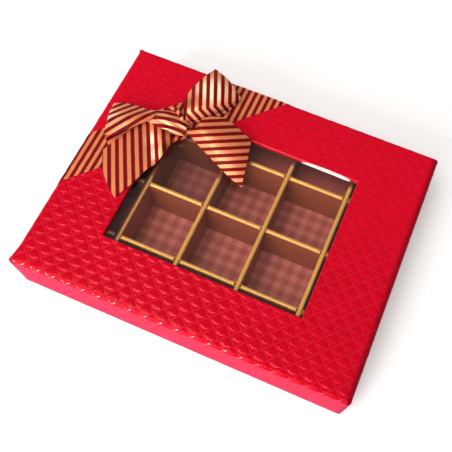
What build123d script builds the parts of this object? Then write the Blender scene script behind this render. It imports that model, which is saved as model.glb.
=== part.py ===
"""Gift box for chocolates: a card box with a lift-off window lid, divider grid and ribbon bow.

Frame: millimetres, origin at the middle of the underside, +X along the long side to the
right, +Y to the far side, +Z up. The bow lies on the lid's far left corner.
"""
import math
import os

from build123d import *

# Box as a whole
box_length = 200.0
box_depth = 159.5
box_height = 34.0
board = 1.5              # grey board of the lid and of the base
overrun = 20.0           # how far a cutter runs past what it cuts

# Lid covering: embossed paper over the board, folded round the lower edge
cover = 0.5
lid_reveal = 1.2         # from the table to the lid's lower edge
edge_round = 2.0         # outer rounding of the lid's top edges
corner_round = 1.8       # outer rounding of the lid's upright corners
hem_height = 12.0        # covering folded up inside the lid's walls

# Window in the lid, with its film and the tape that holds it
border_left = 39.5       # lid's top between its edge and the window
border_right = 40.0
border_near = 33.75
border_far = 34.75
film = 0.25
film_margin = 10.0
tape = 0.15
tape_width = 7.0
tape_inset = 1.2         # from the edge of the film
tape_gap = 3.0           # between the ends of two tapes
far_tape_slip = 1.9      # how far the far tape lies towards the window
far_tape_turn = 0.8      # degrees by which it lies askew

# Base: board tray with a paper wrap outside and a lining inside
lid_play = 0.9           # between the lid's hem and the base, on each side
rim_gap = 0.3            # between the base's rim and the lid's board
wrap = 0.3
lining = 0.2
base_corner_round = 1.2
turn_in = 10.0           # wrap folded down inside the base's walls
turn_under = 14.0        # wrap folded under the base's floor
sheet_gap = 0.5          # between that fold and the bottom sheet

# Checked pad and divider grid
pad = 0.8
pad_play = 0.7           # between the pad and the walls, on each side
cell_length = 37.0       # pitch of the dividers along the box
cell_depth = 37.4        # pitch of the dividers across the box
grid_shift_x = 1.8
grid_shift_y = -4.2
long_count = 4           # dividers that run from the near to the far wall
cross_count = 3          # dividers that run from the left to the right wall
divider_drop = 3.5       # from the lid's top face to the dividers' folds
divider_width = 2.6
divider_leaf = 0.5
fold_round = 1.1
slot_play = 0.15         # on each side of a divider that stands in a slot
end_play = 0.5           # between a divider's end and the wall
notch_chamfer = 1.0      # lead-in at the mouth of each slot

# Ribbon round the far left corner of the lid
ribbon_width = 25.0
ribbon = 0.4
ribbon_angle = 46.15     # degrees from the long side
knot_from_left = 41.6    # middle of the knot from the lid's left edge
knot_from_far = 45.35    # and from its far edge
ribbon_hem = 9.0         # ribbon folded up inside the lid

# Bow
knot_length = 26.0
knot_width = 12.0
knot_height = 6.2
knot_round = 1.4
knot_angle = -14.7       # degrees
bow_ribbon = 0.6         # a little thicker than the flat ribbon, for the folds in it
bow_gap = 0.25           # between two pieces of the bow that pass each other
gather_width = 8.5       # width of each piece where the knot draws it together
gather_run = 17.0        # from the middle of the knot to where a piece is flat again

left_loop_angle = 205.5  # degrees, seen from above
left_loop_length = 35.0
left_loop_bend = 4.6     # radius of the bend at the loop's outer end
left_loop_skew = 17.0    # degrees by which the bend is out of square
left_loop_rise = 2.8     # underside of the loop over the ribbon on the lid
right_loop_angle = 57.5
right_loop_length = 42.5
right_loop_bend = 5.6
right_loop_skew = -2.0
right_loop_rise = 0.8
loop_root = 1.3          # radius of a loop's narrow end, in the knot
loop_root_rise = 2.8     # underside of that end over the ribbon on the lid

left_tail_angle = 249.5
left_tail_length = 47.0
left_tail_crest = 0.7    # height of the tail's back over its ends
left_tail_cut = 25.0     # degrees by which the cut end is out of square
left_tail_width = 27.0
right_tail_angle = -24.5
right_tail_length = 48.5
right_tail_crest = 6.0
right_tail_cut = -36.7
right_tail_width = 26.0
tail_drop = 0.3          # gap under a tail's root and tip
crest_share = 0.42       # place of a tail's highest point along it

# Heights and places worked out from the above
window_length = box_length - border_left - border_right
window_depth = box_depth - border_near - border_far
window_shift_x = (border_left - border_right) / 2
window_shift_y = (border_near - border_far) / 2
knot_x = knot_from_left - box_length / 2
knot_y = box_depth / 2 - knot_from_far
lid_underside = box_height - cover - board
lid_inner_length = box_length - 2 * (cover + board)
lid_inner_depth = box_depth - 2 * (cover + board)
hem_length = lid_inner_length - 2 * cover
hem_depth = lid_inner_depth - 2 * cover
base_length = hem_length - 2 * lid_play
base_depth = hem_depth - 2 * lid_play
base_top = lid_underside - rim_gap
tray_length = base_length - 2 * wrap
tray_depth = base_depth - 2 * wrap
well_length = tray_length - 2 * (board + lining)
well_depth = tray_depth - 2 * (board + lining)
well_floor = wrap + board + lining
pad_top = well_floor + pad
divider_top = box_height - divider_drop
divider_height = divider_top - pad_top
ribbon_top = box_height + ribbon


def block(length, depth, z0, z1, upright=0.0, top=0.0):
    """Box from z0 to z1 on the Z axis, with rounded upright corners and top edges."""
    solid = Pos(0, 0, (z0 + z1) / 2) * Box(length, depth, z1 - z0)
    if upright > 0:
        solid = fillet(solid.edges().filter_by(Axis.Z), upright)
    if top > 0:
        solid = fillet(solid.faces().sort_by(Axis.Z)[-1].edges(), top)
    return solid


def common(a, b):
    """What two solids share, as one shape."""
    shared = a.intersect(b)
    found = shared.solids() if shared is not None else []
    return found[0] if len(found) == 1 else Compound(children=list(found))


# Lid

window_place = Pos(window_shift_x, window_shift_y, 0)


def window_block(extra, z0, z1):
    """Upright block through the window, wider than it by extra on each side."""
    return window_place * block(window_length + 2 * extra, window_depth + 2 * extra, z0, z1)


lid_outside = block(box_length, box_depth, lid_reveal, box_height, corner_round, edge_round)
board_outside = block(
    box_length - 2 * cover, box_depth - 2 * cover, lid_reveal + cover, box_height - cover,
    corner_round - cover, edge_round - cover,
)
lid_hollow = block(lid_inner_length, lid_inner_depth, lid_reveal - overrun, lid_underside)
lid_board = board_outside - lid_hollow - window_block(cover, lid_underside - overrun, box_height + overrun)

hem_top = lid_reveal + cover + hem_height
hem_hollow = block(hem_length, hem_depth, lid_reveal - overrun, hem_top + overrun)
hem_ring = block(lid_inner_length, lid_inner_depth, lid_reveal + cover, hem_top) - hem_hollow
window_sleeve = window_block(cover, lid_underside, box_height - cover) - window_block(
    0, lid_underside - overrun, box_height + overrun
)
lid_skin = lid_outside - board_outside - common(
    hem_hollow, block(box_length, box_depth, lid_reveal - overrun, lid_underside)
)
lid_skin = lid_skin - window_block(0, lid_underside - overrun, box_height + overrun)
lid_cover = lid_skin + hem_ring + window_sleeve

film_length = window_length + 2 * film_margin
film_depth = window_depth + 2 * film_margin
film_top = lid_underside - tape
window_film = window_place * block(film_length, film_depth, film_top - film, film_top)


def tape_strip(length, depth, x, y, turn=0.0):
    """One strip of tape between the film and the lid's board."""
    return window_place * Pos(x, y, 0) * Rot(0, 0, turn) * block(length, depth, film_top, lid_underside)


near_tape_y = film_depth / 2 - tape_inset - tape_width / 2
side_tape_x = film_length / 2 - tape_inset - tape_width / 2
long_tape_length = film_length - 2 * tape_inset
side_tape_low = -near_tape_y + tape_width / 2 + tape_gap
side_tape_high = near_tape_y - far_tape_slip - tape_width / 2 - tape_gap
side_tape_length = side_tape_high - side_tape_low
side_tape_y = (side_tape_high + side_tape_low) / 2
tapes = {
    "film_tape_near": tape_strip(long_tape_length, tape_width, 0, -near_tape_y),
    "film_tape_far": tape_strip(
        long_tape_length, tape_width, 0, near_tape_y - far_tape_slip, -far_tape_turn
    ),
    "film_tape_left": tape_strip(tape_width, side_tape_length, -side_tape_x, side_tape_y),
    "film_tape_right": tape_strip(tape_width, side_tape_length, side_tape_x, side_tape_y),
}

# Base

base_outside = block(base_length, base_depth, 0, base_top, base_corner_round)
tray_outside = block(
    tray_length, tray_depth, wrap, base_top - wrap, base_corner_round - wrap
)
tray_hollow = block(tray_length - 2 * board, tray_depth - 2 * board, wrap + board, base_top + overrun)
base_board = tray_outside - tray_hollow
fold_low = base_top - wrap - turn_in
fold_ring = block(
    tray_length - 2 * board, tray_depth - 2 * board, fold_low, base_top
) - block(well_length, well_depth, fold_low - overrun, base_top + overrun)
rim_cut = block(tray_length - 2 * board, tray_depth - 2 * board, wrap + board, base_top + overrun)
under_cut = block(
    base_length - 2 * turn_under, base_depth - 2 * turn_under, -overrun, wrap
)
base_wrap = (base_outside - tray_outside - rim_cut - under_cut) + fold_ring
bottom_sheet = block(
    base_length - 2 * (turn_under + sheet_gap), base_depth - 2 * (turn_under + sheet_gap), 0, wrap
)
base_lining = block(
    tray_length - 2 * board, tray_depth - 2 * board, wrap + board, fold_low
) - block(well_length, well_depth, well_floor, base_top + overrun)
checked_pad = block(well_length - 2 * pad_play, well_depth - 2 * pad_play, well_floor, pad_top)


# Divider grid


def divider(length, slots, slots_up):
    """Folded card strip along X with half-lap slots, open at the bottom between its leaves.

    slots: where other dividers cross it. slots_up: True cuts them from the top edge.
    """
    outer = Pos(0, 0, pad_top + divider_height / 2) * Box(length, divider_width, divider_height)
    outer = fillet(outer.faces().sort_by(Axis.Z)[-1].edges().filter_by(Axis.X), fold_round)
    inner_height = divider_height - divider_leaf
    inner = Pos(0, 0, pad_top + inner_height / 2) * Box(
        length + overrun, divider_width - 2 * divider_leaf, inner_height
    )
    inner = fillet(
        inner.faces().sort_by(Axis.Z)[-1].edges().filter_by(Axis.X), fold_round - divider_leaf
    )
    strip = outer - inner
    slot_width = divider_width + 2 * slot_play
    middle = pad_top + divider_height / 2
    far_end = divider_top + overrun if slots_up else pad_top - overrun
    near_end = middle - slot_play if slots_up else middle + slot_play
    mouth = divider_top if slots_up else pad_top
    lean = notch_chamfer if slots_up else -notch_chamfer
    half = slot_width / 2
    outline = Polyline(
        (half, near_end), (half, mouth - lean), (half + notch_chamfer, mouth),
        (half + notch_chamfer, far_end), (-half - notch_chamfer, far_end),
        (-half - notch_chamfer, mouth), (-half, mouth - lean), (-half, near_end), close=True,
    )
    slot = extrude(Plane.XZ * make_face(outline), divider_width + overrun, both=True)
    for place in slots:
        strip = strip - Pos(place, 0, 0) * slot
    return strip


def grid_places(count, pitch, shift):
    """Places of count dividers, one pitch apart, about the shifted middle."""
    return [shift + (i - (count - 1) / 2) * pitch for i in range(count)]


long_places = grid_places(long_count, cell_length, grid_shift_x)
cross_places = grid_places(cross_count, cell_depth, grid_shift_y)
dividers = {}
for i, x in enumerate(long_places):
    strip = divider(well_depth - 2 * end_play, cross_places, slots_up=False)
    dividers[f"long_divider_{i + 1}"] = Pos(x, 0, 0) * Rot(0, 0, 90) * strip
for i, y in enumerate(cross_places):
    strip = divider(well_length - 2 * end_play, long_places, slots_up=True)
    dividers[f"cross_divider_{i + 1}"] = Pos(0, y, 0) * strip

# Ribbon round the corner

slope = math.tan(math.radians(ribbon_angle))
half_x = box_length / 2
half_y = box_depth / 2
bend_arc = edge_round * math.pi / 2
half_cut_y = ribbon_width / 2 / math.cos(math.radians(ribbon_angle))
half_cut_x = ribbon_width / 2 / math.sin(math.radians(ribbon_angle))


def prism(plane, points, reach):
    """Flat outline on a plane, extruded by reach to both sides of it."""
    return extrude(plane * make_face(Polyline(*points, close=True)), reach, both=True)


def band_cutters(edge, other, half_cut, rate):
    """Cutters for the ribbon on one side wall and its top edge, in a frame where that wall
    faces -X at x = -edge; the ribbon's middle meets the tangent line at y = other and moves
    along y by rate for each length down the wall. Returns cutter solids for the bend and wall."""
    tangent_x = -edge + edge_round
    tangent_z = box_height - edge_round
    low = lid_reveal - overrun
    wall_mid = other + rate * bend_arc
    drop = tangent_z - low
    wall = prism(
        Plane.YZ,
        [
            (wall_mid - half_cut, tangent_z), (wall_mid + half_cut, tangent_z),
            (wall_mid + half_cut + rate * drop, low), (wall_mid - half_cut + rate * drop, low),
        ],
        overrun,
    )
    wall = Pos(-edge, 0, 0) * wall
    chord = edge_round * math.sqrt(2)
    bend_plane = Plane(
        origin=(tangent_x, 0, box_height), x_dir=(-1, 0, -1), z_dir=(-1, 0, 1)
    )
    side = bend_plane.y_dir.Y
    lead = edge_round
    shift = (wall_mid - other) / chord * lead
    bend = prism(
        bend_plane,
        [
            (-lead, side * (other - half_cut - shift)), (-lead, side * (other + half_cut - shift)),
            (chord + lead, side * (wall_mid + half_cut + shift)),
            (chord + lead, side * (wall_mid - half_cut + shift)),
        ],
        overrun,
    )
    corner = Pos(
        tangent_x - overrun / 2, 0, tangent_z + overrun / 2
    ) * Box(overrun, box_length * 2, overrun)
    return [common(bend, corner), wall]


ribbon_outside = block(
    box_length + 2 * ribbon, box_depth + 2 * ribbon, lid_reveal - ribbon, ribbon_top,
    corner_round + ribbon, edge_round + ribbon,
)
ribbon_inside_top = lid_reveal + ribbon_hem
ribbon_void = block(
    hem_length - 2 * ribbon, hem_depth - 2 * ribbon, lid_reveal - overrun, ribbon_inside_top
)
ribbon_shell = ribbon_outside - lid_outside - ribbon_void
hem_shell = block(hem_length, hem_depth, lid_reveal - ribbon, ribbon_inside_top) - ribbon_void
ribbon_shell = ribbon_shell + hem_shell

tangent_left = -half_x + edge_round
tangent_far = half_y - edge_round
left_cross = knot_y + (tangent_left - knot_x) * slope
far_cross = knot_x + (tangent_far - knot_y) / slope
top_strip = Pos(knot_x, knot_y, box_height) * Rot(0, 0, ribbon_angle) * Box(
    box_length, ribbon_width, edge_round
)
top_zone = Pos(
    (tangent_left + half_x) / 2, (tangent_far - half_y) / 2, box_height
) * Box(half_x - tangent_left, tangent_far + half_y, edge_round * 2)
band_top = common(ribbon_shell, common(top_strip, top_zone))
left_parts = [common(ribbon_shell, c) for c in band_cutters(half_x, left_cross, half_cut_y, -slope)]
turned = Rot(0, 0, 90) * ribbon_shell
far_parts = [
    Rot(0, 0, -90) * common(turned, c)
    for c in band_cutters(half_y, far_cross, half_cut_x, 1 / slope)
]
ribbon_band = band_top
for piece in left_parts + far_parts:
    ribbon_band = ribbon_band + piece

# Bow

knot_place = Pos(knot_x, knot_y, ribbon_top)


def pebble(grow):
    """The knot's rounded body, larger by grow all round, on the ribbon."""
    radius = knot_height / 2 + grow
    half = knot_length / 2 - knot_height / 2
    outline = make_hull(
        (Pos(-half, 0) * Circle(radius)).edges() + (Pos(half, 0) * Circle(radius)).edges()
    )
    body = extrude(Plane.XZ * outline, knot_width / 2 + grow, both=True)
    body = fillet(body.edges().filter_by(Axis.Y, reverse=True).group_by(Axis.Y)[0], knot_round)
    body = fillet(body.edges().filter_by(Axis.Y, reverse=True).group_by(Axis.Y)[-1], knot_round)
    return knot_place * Rot(0, 0, knot_angle) * Pos(0, 0, knot_height / 2) * body


def plan_outline(length, width, skew):
    """Seen from above: a strip along +X, drawn together at the knot, with a skewed outer end."""
    lean = math.tan(math.radians(skew)) * width / 2
    return prism(
        Plane.XY,
        [
            (0, -gather_width / 2), (gather_run, -width / 2), (length - lean, -width / 2),
            (length + lean, width / 2), (gather_run, width / 2), (0, gather_width / 2),
        ],
        box_height + overrun,
    )


def bow_loop(angle, length, bend, skew, rise, width):
    """Loop of ribbon: a flattened tube that narrows to the knot, its outer end a round bend."""
    root_z = loop_root_rise + loop_root
    bend_z = rise + bend
    bend_x = length - bend
    shell = make_hull(
        (Pos(0, root_z) * Circle(loop_root)).edges() + (Pos(bend_x, bend_z) * Circle(bend)).edges()
    ) - make_hull(
        (Pos(0, root_z) * Circle(loop_root - bow_ribbon)).edges()
        + (Pos(bend_x, bend_z) * Circle(bend - bow_ribbon)).edges()
    )
    lean = math.tan(math.radians(skew))
    tube = Pos(-lean * width, -width, 0) * extrude(Plane.XZ * shell, width * 2, dir=(lean, 1, 0))
    loop = common(tube, plan_outline(length + width, width, 0))
    return knot_place * Rot(0, 0, angle) * loop - pebble(bow_gap)


def bow_tail(angle, length, crest, cut, width):
    """Tail of ribbon: it leaves the knot, arches over its back and comes down to a slanted end."""
    root_z = tail_drop + bow_ribbon / 2
    top_z = root_z + crest
    half_run = length * crest_share
    path = ThreePointArc((0, root_z), (half_run, top_z), (length + width, root_z))
    line = offset(path, bow_ribbon, side=Side.LEFT)
    profile = make_face(line)
    strip = extrude(Plane.XZ * profile, width, both=True)
    tail = common(strip, plan_outline(length, width, cut))
    return knot_place * Rot(0, 0, angle) * tail - pebble(bow_gap)


bow_knot = pebble(0)
bow = {
    "bow_knot": bow_knot,
    "bow_loop_left": bow_loop(
        left_loop_angle, left_loop_length, left_loop_bend, left_loop_skew, left_loop_rise, ribbon_width
    ),
    "bow_loop_right": bow_loop(
        right_loop_angle, right_loop_length, right_loop_bend, right_loop_skew, right_loop_rise,
        ribbon_width,
    ),
    "bow_tail_left": bow_tail(
        left_tail_angle, left_tail_length, left_tail_crest, left_tail_cut, left_tail_width
    ),
    "bow_tail_right": bow_tail(
        right_tail_angle, right_tail_length, right_tail_crest, right_tail_cut, right_tail_width
    ),
}

pieces = {
    "base_board": base_board,
    "base_wrap": base_wrap,
    "bottom_sheet": bottom_sheet,
    "base_lining": base_lining,
    "checked_pad": checked_pad,
    **dividers,
    "lid_board": lid_board,
    "lid_cover": lid_cover,
    "window_film": window_film,
    **tapes,
    "ribbon_band": ribbon_band,
    **bow,
}

os.makedirs("parts", exist_ok=True)
for name, solid in pieces.items():
    found = solid.solids()
    shape = found[0] if len(found) == 1 else Compound(children=list(found))
    export_step(shape, f"parts/{name}.step")
    box = shape.bounding_box()
    print(
        f"{name}: {len(found)} solid, volume {sum(s.volume for s in found):.1f}, "
        f"x {box.min.X:.2f}..{box.max.X:.2f} y {box.min.Y:.2f}..{box.max.Y:.2f} "
        f"z {box.min.Z:.2f}..{box.max.Z:.2f}"
    )
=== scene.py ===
"""Looks of the chocolate box: embossed red lid with a window, divider grid and striped bow."""

import math

import bpy
import numpy as np
from mathutils import Matrix, Vector


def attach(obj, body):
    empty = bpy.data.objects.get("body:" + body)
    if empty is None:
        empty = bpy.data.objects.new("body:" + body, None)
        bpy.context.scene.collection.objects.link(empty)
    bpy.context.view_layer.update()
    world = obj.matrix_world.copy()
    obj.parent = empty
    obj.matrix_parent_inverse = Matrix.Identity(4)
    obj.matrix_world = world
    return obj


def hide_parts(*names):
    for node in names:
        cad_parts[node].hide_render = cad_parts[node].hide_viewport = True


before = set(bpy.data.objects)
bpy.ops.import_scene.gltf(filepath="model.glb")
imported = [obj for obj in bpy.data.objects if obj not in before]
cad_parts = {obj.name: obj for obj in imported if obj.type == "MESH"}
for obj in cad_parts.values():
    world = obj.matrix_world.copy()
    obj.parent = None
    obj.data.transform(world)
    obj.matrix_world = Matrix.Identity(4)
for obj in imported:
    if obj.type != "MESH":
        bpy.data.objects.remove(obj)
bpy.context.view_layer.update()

MM = 0.001

# Lid, in millimetres
LID_X, LID_Y, LID_TOP = 100.0, 79.75, 34.0
LID_REVEAL = 1.2
COVER = 0.5
BOARD = 1.5
HEM = 12.0
EDGE = 2.1               # rounding of the covered top edge
PLAN_CORNER = 1.8        # rounding of its upright corners
DROOP, DROOP_REACH = 0.14, 5.5
TOP_X, TOP_Y = LID_X - EDGE, LID_Y - EDGE
WINDOW = (-60.5, 60.0, -46.0, 45.0)
WINDOW_EDGE = 0.9        # rounding of the paper into the window
UNDERSIDE = LID_TOP - COVER - BOARD
TEAR_MIDDLE, TEAR_HALF, TEAR_DEPTH = 40.5, 16.0, 0.4

# Embossing: a slightly turned grid of stitched lines with an oval pad in each diamond
QUILT_A = (0.10452, 0.10656)
QUILT_B = (0.10751, -0.10427)
QUILT_SHIFT = (0.463, 0.400)
QUILT_STEP = 6.69
PAD_LONG, PAD_SHORT = 2.95, 1.75
PAD_FAR = 3.4
PAD_RISE = 0.22
STITCHES = 6             # along one side of a diamond
STITCH_SHAPE = 0.8       # below 1, a stitch is longer than wide
STITCH_REACH = 0.2       # square of half its width

CHECK_STEP = 7.7

# Places where the gold of the dividers' folds ends in painted shade, under the lid's border
GOLD_LEFT, GOLD_RIGHT, GOLD_FAR = -53.9, 59.2, 39.5
LEFT_FOLD = -53.7        # middle of the left divider's fold

RIBBON_WIDTH = 25.0
RIBBON_ANGLE = 46.15
TUCK = 9.0               # length of ribbon inside the lid, at each end
KNOT = (-58.4, 34.4)
STRIPE_TURN = 43.85
STRIPE_STEP = 4.2
# How far a place on the bow seems to shift for each millimetre that it is above the lid
LEAN_X, LEAN_Y = -0.3, 0.56


# Shader writing


class Wire:
    """A value in a finish. Sums and products of it add Math nodes."""

    def __init__(self, recipe, socket):
        self.recipe = recipe
        self.socket = socket

    def maths(self, operation, *others):
        return self.of(operation, self, *others)

    def of(self, operation, *values):
        """A Math node on these values, in this order."""
        return self.recipe.node(
            "ShaderNodeMath", {"operation": operation}, dict(enumerate(values))
        )

    def __add__(self, other):
        return self.maths("ADD", other)

    def __radd__(self, other):
        return self.maths("ADD", other)

    def __sub__(self, other):
        return self.maths("SUBTRACT", other)

    def __rsub__(self, other):
        return self.of("SUBTRACT", other, self)

    def __mul__(self, other):
        return self.maths("MULTIPLY", other)

    def __rmul__(self, other):
        return self.maths("MULTIPLY", other)

    def __truediv__(self, other):
        return self.maths("DIVIDE", other)

    def __neg__(self):
        return self.maths("MULTIPLY", -1.0)

    def at_least(self, other):
        return self.maths("MAXIMUM", other)

    def fold(self, half):
        """Distance to the nearest whole multiple of twice half."""
        return self.maths("PINGPONG", half)

    def step(self, low, high):
        """0 below low, 1 above high, and smooth between."""
        return self.recipe.node(
            "ShaderNodeMapRange",
            {"interpolation_type": "SMOOTHSTEP"},
            {"Value": self, "From Min": low, "From Max": high},
        )

    def out(self, name):
        """Another output of the node that this value comes from."""
        return Wire(self.recipe, self.socket.node.outputs[name])


class Recipe:
    """A node tree that is written as expressions."""

    def __init__(self, owner):
        owner.use_nodes = True
        self.tree = owner.node_tree
        self.tree.nodes.clear()

    def node(self, kind, settings=None, values=None):
        """Adds a node of this type, with its settings and the values or links of its sockets."""
        made = self.tree.nodes.new(kind)
        for key, value in (settings or {}).items():
            setattr(made, key, value)
        for key, value in (values or {}).items():
            if isinstance(value, Wire):
                self.tree.links.new(value.socket, made.inputs[key])
            else:
                made.inputs[key].default_value = value
        shown = [o for o in made.outputs if o.enabled]
        return Wire(self, shown[0] if shown else None) if made.outputs else made

    def blend(self, factor, low, high):
        """Mix of two colours."""
        made = self.tree.nodes.new("ShaderNodeMix")
        made.data_type = "RGBA"
        for index, value in ((0, factor), (6, low), (7, high)):
            if isinstance(value, Wire):
                self.tree.links.new(value.socket, made.inputs[index])
            else:
                made.inputs[index].default_value = value
        return Wire(self, made.outputs[2])

    def vector(self, operation, a, b=(0, 0, 0)):
        return self.node("ShaderNodeVectorMath", {"operation": operation}, {0: a, 1: b})

    def split(self, vector):
        parts = self.node("ShaderNodeSeparateXYZ", None, {0: vector})
        return parts.out("X"), parts.out("Y"), parts.out("Z")

    def join(self, x, y, z=0.0):
        return self.node("ShaderNodeCombineXYZ", None, {0: x, 1: y, 2: z})

    def grain(self, vector, scale, detail=2.0, rough=0.5):
        return self.node(
            "ShaderNodeTexNoise",
            {"noise_dimensions": "3D"},
            {"Vector": vector, "Scale": scale, "Detail": detail, "Roughness": rough},
        )

    def places(self):
        """Place on the piece, in millimetres of the shared frame."""
        made = self.tree.nodes.new("ShaderNodeTexCoord")
        return self.scaled(Wire(self, made.outputs["Object"]), 1 / MM)

    def scaled(self, vector, factor):
        made = self.tree.nodes.new("ShaderNodeVectorMath")
        made.operation = "SCALE"
        self.tree.links.new(vector.socket, made.inputs[0])
        made.inputs["Scale"].default_value = factor
        return Wire(self, made.outputs[0])

    def marked(self, name):
        """A vector that the mesh carries, in millimetres."""
        made = self.tree.nodes.new("ShaderNodeAttribute")
        made.attribute_name = name
        return Wire(self, made.outputs["Vector"])

    def bump(self, height, strength=1.0):
        """Normal from a height in millimetres."""
        return self.node(
            "ShaderNodeBump", None, {"Strength": strength, "Distance": MM, "Height": height}
        )

    def skin(self, **values):
        """The surface shader, tied to the output."""
        names = {
            "colour": "Base Color", "rough": "Roughness", "metal": "Metallic",
            "normal": "Normal", "specular": "Specular IOR Level",
            "coat": "Coat Weight", "coat_rough": "Coat Roughness", "coat_ior": "Coat IOR",
            "sheen": "Sheen Weight", "sheen_rough": "Sheen Roughness", "sheen_tint": "Sheen Tint",
        }
        made = self.node(
            "ShaderNodeBsdfPrincipled", None, {names[k]: v for k, v in values.items()}
        )
        self.node("ShaderNodeOutputMaterial", None, {"Surface": made})


def shade(red, green, blue):
    """A colour as it looks on screen, 0 to 255, as the shader wants it."""
    def one(c):
        c /= 255
        return c / 12.92 if c <= 0.04045 else ((c + 0.055) / 1.055) ** 2.4
    return (one(red), one(green), one(blue), 1.0)


def finish_named(name):
    made = bpy.data.materials.new(name)
    return made, Recipe(made)


# Finishes

def embossed_red_paper():
    """Glossy red paper with raised pads and rows of stitches, rubbed along its near edge, with
    painted shade along its right edge and painted light on its stitches and far side.
    """
    material, r = finish_named("red_embossed_paper")
    flat = r.marked("flat")
    x, y, z = r.split(flat)
    a = x * QUILT_A[0] + y * QUILT_A[1] - QUILT_SHIFT[0]
    b = x * QUILT_B[0] + y * QUILT_B[1] - QUILT_SHIFT[1]
    to_a = a.fold(0.5) * QUILT_STEP
    to_b = b.fold(0.5) * QUILT_STEP
    along_a = (b * STITCHES).fold(0.5) * (QUILT_STEP / STITCHES)
    along_b = (a * STITCHES).fold(0.5) * (QUILT_STEP / STITCHES)

    def stitches(side, along):
        spread = side * side + along * along * STITCH_SHAPE
        return (1.0 - spread / STITCH_REACH).at_least(0.0)

    dots = stitches(to_a, along_a).at_least(stitches(to_b, along_b))
    # the stitches are rubbed to a shine where they cross the near edge
    leftward = x.step(0.0, -75.0) * 0.5
    rubbed = (1.0 - to_b.step(0.15, 0.45)) + (1.0 - to_a.step(0.15, 0.45)) * leftward
    rubbed = rubbed * (-y).step(TOP_Y + 1.0, TOP_Y + 1.7)
    rubbed = rubbed * y.step(-TOP_Y - 4.4, -TOP_Y - 3.4)
    leather = r.grain(flat, 1.7, 3.0, 0.6)
    fine = r.grain(flat, 5.5, 2.0, 0.5)
    height = dots * 0.14 + leather * 0.035 + fine * 0.02
    cloud = r.grain(flat, 0.05, 2.0, 0.5)
    mottle = (leather * 0.5 + cloud * 0.5).step(0.3, 0.75)
    base = r.blend(mottle, shade(188, 4, 26), shade(200, 6, 34))
    # painted light: the paper is painted lighter towards the far side
    base = r.blend(y.step(-40.0, 60.0) * 0.5, base, shade(216, 8, 36))
    # painted highlight: the pads are painted a little lighter than the paper between them on the
    # far side
    pads = to_a.step(0.6, 2.2) * to_b.step(0.6, 2.2) * leather.step(0.3, 0.6)
    base = r.blend(pads * y.step(-20.0, 50.0) * 0.16, base, shade(238, 26, 56))
    # painted highlight: the stitches are painted lighter, most on the near and left side, less
    # towards the far side and the right
    pale = 0.40 - y.step(-20.0, 60.0) * 0.20 - x.step(20.0, 75.0) * 0.12
    base = r.blend(dots * pale, base, shade(242, 62, 92))
    # the paper is torn to its white core along part of the window's far edge
    off = (x - TEAR_MIDDLE) / TEAR_HALF
    lens = (1.0 - off * off).at_least(0.0)
    torn = (lens * TEAR_DEPTH - y + WINDOW[3]).step(0.0, 0.2)
    torn = torn * y.step(WINDOW[3] - 0.4, WINDOW[3] - 0.1)
    base = r.blend(torn * lens.step(0.0, 0.1), base, shade(226, 208, 202))
    # painted shade darkens the paper along the right edge, where the rounded edge turns away from
    # the lamps; paler streaks run across the near side
    base = r.blend(x.step(TOP_X - 2.6, TOP_X + 0.6) * 0.62, base, shade(96, 4, 16))
    streaks = r.grain(r.vector("MULTIPLY", flat, (0.05, 2.2, 1.0)), 0.9, 2.0)
    side = (-y).step(TOP_Y + 2.8, TOP_Y + 4.0)
    base = r.blend(streaks.step(0.40, 0.68) * side * 0.30, base, shade(240, 30, 68))
    on_top = y.step(-TOP_Y - 0.4, -TOP_Y + 1.2)
    r.skin(
        colour=base, rough=leather.step(0.2, 0.8) * 0.08 + 0.25, specular=0.0, metal=0.11,
        coat=rubbed * 0.9 + on_top * 0.05 + 0.025, coat_rough=0.16, coat_ior=2.2,
        sheen=0.5, sheen_rough=0.3, sheen_tint=(1.0, 0.20, 0.60, 1.0),
        normal=r.bump(height),
    )
    return material


def smooth_red_paper():
    material, r = finish_named("red_paper")
    p = r.places()
    cloud = r.grain(p, 0.08)
    fine = r.grain(p, 2.4, 3.0)
    r.skin(
        colour=r.blend(cloud.step(0.3, 0.7), shade(166, 2, 24), shade(174, 5, 27)),
        rough=fine * 0.15 + 0.38, specular=0.25, normal=r.bump(fine * 0.03),
    )
    return material


def fibre_board(name, pale, dark):
    material, r = finish_named(name)
    p = r.places()
    fibres = r.grain(r.vector("MULTIPLY", p, (1.0, 4.0, 4.0)), 0.9, 4.0, 0.65)
    specks = r.grain(p, 3.5, 2.0)
    colour = r.blend(fibres.step(0.35, 0.7), pale, dark)
    colour = r.blend(specks.step(0.66, 0.74) * 0.5, colour, dark)
    r.skin(colour=colour, rough=fibres * 0.1 + 0.82, specular=0.25,
           normal=r.bump(fibres * 0.05))
    return material


def dark_lining():
    material, r = finish_named("brown_lining")
    p = r.places()
    grain = r.grain(p, 1.8, 4.0, 0.6)
    r.skin(
        colour=r.blend(grain.step(0.3, 0.7), shade(88, 40, 30), shade(70, 30, 24)),
        rough=grain * 0.2 + 0.5, specular=0.4, normal=r.bump(grain * 0.04),
    )
    return material


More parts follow.
